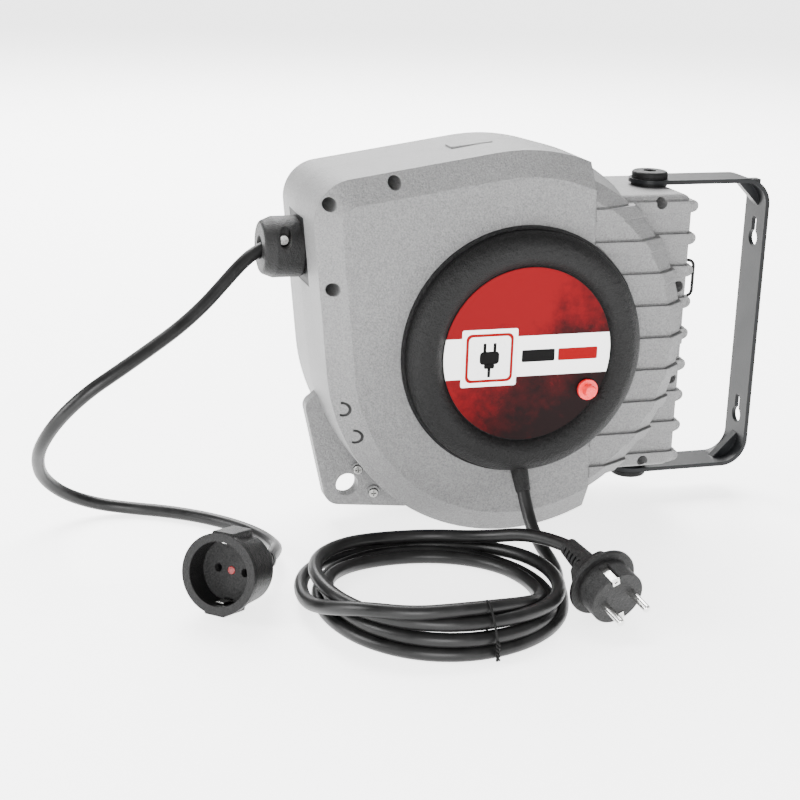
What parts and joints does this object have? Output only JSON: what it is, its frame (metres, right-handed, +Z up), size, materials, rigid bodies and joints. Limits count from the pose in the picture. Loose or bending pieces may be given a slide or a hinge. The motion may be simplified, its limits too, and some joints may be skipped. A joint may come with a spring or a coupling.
{
  "type": "extension cord reel",
  "caption": "Wall-mounted spring-return extension cord reel in a ribbed two-part casing on a swivelling bracket, with earthed plug, earthed coupling, cord stopper and reset button.",
  "frame": {"origin": "on the wall, at the rear face of the bracket's web, midway between the two keyhole screws", "axes": "+X into the wall, +Z up along the swivel axis, and the reel's round front faces -Y"},
  "size_m": [0.535, 0.3155, 0.2719],
  "materials": {
    "casing_grey": "fine moulded grain, satin",
    "hub_black": "moulded grain, satin",
    "label_red": "printed foil",
    "button_red": "translucent",
    "inner_black": "moulded",
    "drum_grey": "moulded",
    "rubber": "satin",
    "bracket_paint": "dark grey powder coat",
    "zinc": "zinc plated",
    "spring_steel": "blued strip",
    "copper_alloy": "plain",
    "pin_steel": "nickel plated",
    "plug_face_grey": "moulded grain",
    "centre_red": "moulded"
  },
  "bodies": {
    "wall_bracket": {"bracket": "bracket_paint", "pivot_bushes": "inner_black"},
    "casing": {"front_shell": "casing_grey", "rear_shell": "casing_grey", "casing_screws": "zinc", "ear_screws": "zinc", "hub_base_ring": "hub_black", "hub_cover": "hub_black", "label_disc": "label_red", "button_collar": "hub_black", "thermal_cutout": "inner_black", "brush_carrier": "inner_black", "terminal_block": "inner_black", "contact_fingers": "copper_alloy", "axle": "zinc", "axle_bolt": "zinc", "pivot_bolts": "zinc", "pivot_washers": "inner_black", "pivot_inserts": "copper_alloy", "outlet_frame": "inner_black", "roller_pins": "zinc", "safety_eye": "zinc", "pawl_pin": "zinc", "pawl_spring": "spring_steel", "feed_gland": "rubber", "feed_cord": "rubber", "feed_coil": "rubber", "plug_cord": "rubber", "coil_tie": "rubber", "plug_body": "rubber", "plug_face": "plug_face_grey", "plug_pins": "pin_steel", "plug_earth_clips": "pin_steel", "plug_relief": "rubber"},
    "drum": {"drum_core": "drum_grey", "drum_front_flange": "drum_grey", "drum_rear_flange": "drum_grey", "drum_bushes": "copper_alloy", "slip_ring_disc": "inner_black", "slip_rings": "copper_alloy", "wound_cable": "rubber", "ratchet_ring": "drum_grey", "spring_cassette": "drum_grey", "cassette_cover": "zinc", "power_spring": "spring_steel"},
    "lead": {"lead_inner": "rubber", "lead_cord": "rubber", "stopper_front": "rubber", "stopper_rear": "rubber", "stopper_screws": "zinc", "coupling_body": "rubber", "coupling_insert": "plug_face_grey", "coupling_centre_cap": "centre_red", "coupling_sleeves": "copper_alloy", "coupling_earth_clips": "pin_steel", "coupling_relief": "rubber"},
    "upper_roller_body": {"upper_roller": "inner_black"},
    "lower_roller_body": {"lower_roller": "inner_black"},
    "reset_button_body": {"reset_button": "button_red"},
    "pawl_body": {"pawl": "zinc"}
  },
  "joints": [
    {"name": "swivel", "type": "hinge", "parent": "wall_bracket", "child": "casing", "pos_m": [-0.091, 0, 0], "axis": [0, 0, 1], "range_deg": [-90, 90]},
    {"name": "lead_pull", "type": "slide", "parent": "casing", "child": "lead", "axis": [-1, 0, 0], "range_m": [0, 0.06], "stiffness_N_per_m": 20, "springref_m": -0.5},
    {"name": "drum_spin", "type": "hinge", "parent": "casing", "child": "drum", "pos_m": [-0.208, -0.01, -0.003], "axis": [0, -1, 0], "range_deg": [0, 54]},
    {"name": "upper_roller_spin", "type": "hinge", "parent": "casing", "child": "upper_roller_body", "pos_m": [-0.318, 0, 0.0738], "axis": [0, 1, 0], "range_deg": [0, 450]},
    {"name": "lower_roller_spin", "type": "hinge", "parent": "casing", "child": "lower_roller_body", "pos_m": [-0.318, 0, 0.0482], "axis": [0, -1, 0], "range_deg": [0, 450]},
    {"name": "reset_press", "type": "slide", "parent": "casing", "child": "reset_button_body", "axis": [0, 1, 0], "range_m": [0, 0.0025], "stiffness_N_per_m": 400, "springref_m": -0.0015},
    {"name": "pawl_swing", "type": "hinge", "parent": "casing", "child": "pawl_body", "pos_m": [-0.12211, -0.05, 0.06411], "axis": [0, 1, 0], "range_deg": [0, 12], "stiffness_Nm_per_rad": 0.05, "springref_deg": -17.19}
  ],
  "couplings": [
    {"joint": "drum_spin", "follows": "lead_pull", "rad_per_m": 15.625},
    {"joint": "upper_roller_spin", "follows": "lead_pull", "rad_per_m": 125},
    {"joint": "lower_roller_spin", "follows": "lead_pull", "rad_per_m": 125}
  ]
}
